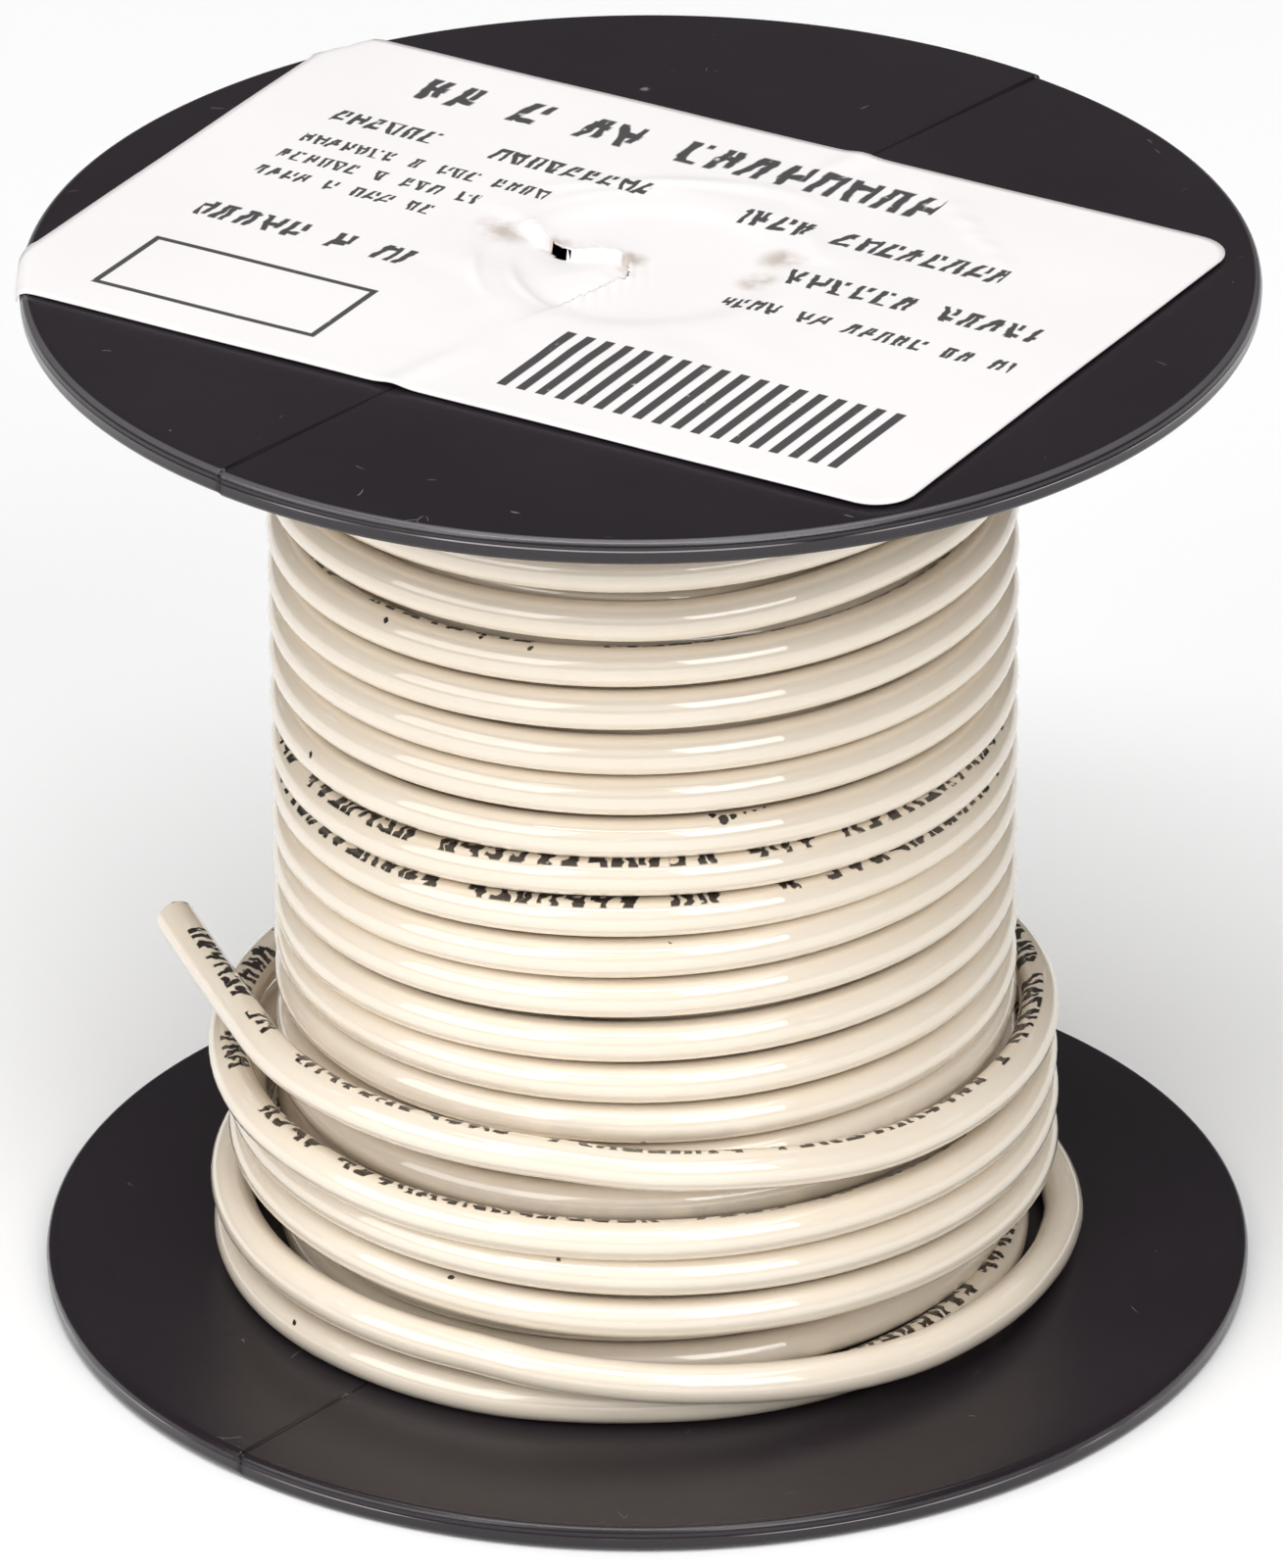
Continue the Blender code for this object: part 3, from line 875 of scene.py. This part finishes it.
# Lines of strokes on the label: left, right, foot and head in mm from its middle
TEXT_LINES = (
    (-31.0, 16.0, 17.5, 21.5), (-31.0, -4.0, 11.0, 13.2), (4.0, 26.0, 10.6, 13.2),
    (-31.0, -10.0, 6.8, 8.5), (-31.0, -14.0, 3.6, 5.3), (12.0, 33.0, 3.2, 5.8),
    (-31.0, -16.0, 0.4, 2.1), (10.0, 34.0, -2.0, -0.1), (-31.0, -13.0, -8.0, -5.2))

# Even bars and an empty box: left, right, foot and head from the label's middle
BAR_PITCH = 0.0016
BARS_BOX = (0.003, 0.0315, -0.0215, -0.0115)
EMPTY_BOX = (-0.031, -0.012, -0.0215, -0.0125)
EMPTY_BOX_INSIDE = (-0.0305, -0.0125, -0.0210, -0.0130)

# Grubby spots round the tear: place on the flange and radius
SMUDGES = (
    (-0.0101, 0.0063, 0.0030), (0.0104, 0.0006, 0.0026), (0.0085, -0.0029, 0.0022),
    (-0.0062, 0.0040, 0.0016), (-0.0008, 0.0012, 0.0018), (-0.0012, -0.0019, 0.0012))

# Colours of the label
PAPER_WHITE = (0.815, 0.785, 0.780)
PAPER_BRIGHT = (0.840, 0.812, 0.805)
GRIME = (0.42, 0.33, 0.27)
LABEL_INK = (0.016, 0.015, 0.018)


def label_material():
    graph = Graph("label_paper")
    spot = place_of(graph)
    x, y = graph.split(graph.node("ShaderNodeUVMap", uv_map="UVMap").outputs[0])[:2]

    ink = 0.0
    for seed, (left, right, low, high) in enumerate(TEXT_LINES):
        line = text_line(graph, x, y, left * MM, right * MM, low * MM, high * MM, float(seed + 5))
        ink = graph.either(ink, line)
    bars = graph.math("FRACT", graph.math("DIVIDE", graph.math("ADD", x, 1.0), BAR_PITCH))
    bars = graph.product(graph.ramp(bars, 0.04, 0.09), graph.ramp(bars, 0.60, 0.52))
    ink = graph.either(ink, graph.product(bars, box_mask(graph, x, y, *BARS_BOX)))
    hollow = graph.math("SUBTRACT", 1.0, box_mask(graph, x, y, *EMPTY_BOX_INSIDE))
    ink = graph.either(ink, graph.product(box_mask(graph, x, y, *EMPTY_BOX), hollow))
    wear = graph.noise(spot, 700.0, 3.0)
    ink = graph.product(ink, graph.ramp(wear, 0.22, 0.34), 0.93)

    smudge = graph.noise(spot, 160.0, 4.0, 0.65)
    grubby = 0.0
    for smudge_x, smudge_y, size in SMUDGES:
        away = graph.node("ShaderNodeVectorMath", {0: spot, 1: (smudge_x, smudge_y, SPOOL_HEIGHT)},
                          operation="DISTANCE").outputs["Value"]
        grubby = graph.either(grubby, graph.ramp(away, size, size * 0.2))
    grubby = graph.product(grubby, graph.ramp(smudge, 0.40, 0.62))

    pulp = graph.noise(spot, 1400.0, 3.0)
    tone = graph.noise(spot, 40.0, 2.0)
    paper = graph.mix(graph.ramp(tone, 0.3, 0.7), PAPER_WHITE, PAPER_BRIGHT)
    paper = graph.mix(graph.product(grubby, 0.7), paper, GRIME)
    graph.put(graph.shader.inputs["Base Color"], graph.mix(ink, paper, LABEL_INK))
    graph.put(graph.shader.inputs["Roughness"], graph.math("MULTIPLY_ADD", pulp, 0.12, 0.46))
    normal = graph.bump(pulp, 0.10, 0.0001)
    normal = graph.bump(graph.noise(spot, 220.0, 3.0), 0.12, 0.0003, normal)
    graph.put(graph.shader.inputs["Normal"], normal)
    graph.shader.inputs["Specular IOR Level"].default_value = 0.2
    return graph.material


# Floor and light

FLOOR_SIZE = 6.0
FLOOR_DROP = 0.0002
WORLD_STRENGTH = 0.10
LIGHT_TARGET = Vector((0.0, 0.0, 0.04))

# Area lights: azimuth from the camera's side and elevation in degrees, distance, width, height and power
LIGHTS = {
    "key_right": (27.0, 34.0, 1.6, 0.80, 0.80, 7.5),
    "wide_left": (-54.0, 30.0, 1.7, 1.60, 1.10, 12.5),
    "high_front": (-12.0, 61.0, 1.8, 1.30, 0.36, 7.5),
    "front_fill": (-5.0, 33.0, 1.8, 2.40, 0.90, 5.5),
    "overhead": (0.0, 84.0, 1.7, 1.60, 1.60, 19.0)}


def build_floor():
    bm = bmesh.new()
    bmesh.ops.create_grid(bm, x_segments=2, y_segments=2, size=FLOOR_SIZE)
    mesh = bpy.data.meshes.new("floor")
    bm.to_mesh(mesh)
    bm.free()
    floor = bpy.data.objects.new("floor", mesh)
    floor.location = (0.0, 0.0, -FLOOR_DROP)
    bpy.context.scene.collection.objects.link(floor)
    graph = Graph("floor")
    tone = graph.noise(place_of(graph), 3.0, 2.0)
    graph.put(graph.shader.inputs["Base Color"], graph.mix(tone, (0.93, 0.93, 0.93), (0.95, 0.95, 0.95)))
    graph.shader.inputs["Roughness"].default_value = 0.8
    graph.shader.inputs["Specular IOR Level"].default_value = 0.1
    floor.data.materials.append(graph.material)


def softbox(name, azimuth, elevation, distance, width, height, power):
    """An area light aimed at the coil. Azimuth 0 is the camera's side, and grows to the right."""
    light = bpy.data.lights.new(name, "AREA")
    light.shape = "RECTANGLE"
    light.size = width
    light.size_y = height
    light.energy = power
    obj = bpy.data.objects.new(name, light)
    a = math.radians(azimuth)
    e = math.radians(elevation)
    toward = Vector((math.sin(a) * math.cos(e), -math.cos(a) * math.cos(e), math.sin(e)))
    obj.location = LIGHT_TARGET + toward * distance
    obj.rotation_euler = toward.to_track_quat("Z", "Y").to_euler()
    bpy.context.scene.collection.objects.link(obj)
    return obj


def build_lights():
    for name, values in LIGHTS.items():
        softbox(name, *values)
    world = bpy.data.worlds.new("world")
    bpy.context.scene.world = world
    world.use_nodes = True
    back = world.node_tree.nodes["Background"]
    back.inputs["Color"].default_value = (1.0, 1.0, 1.0, 1.0)
    back.inputs["Strength"].default_value = WORLD_STRENGTH
    bpy.context.scene.view_settings.view_transform = "Standard"


def main():
    wire, points = build_wire()
    wire.data.materials.append(wire_material())
    copper_end = build_copper_end(points)
    for piece in (wire, copper_end):
        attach(piece, "root")
    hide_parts("wire_coil", "wire_tail")

    spool = build_spool()
    spool.data.materials.append(spool_material())
    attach(spool, "root")
    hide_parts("spool")

    label = build_label()
    label.data.materials.append(label_material())
    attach(label, "root")
    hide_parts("label")

    build_floor()
    build_lights()


main()
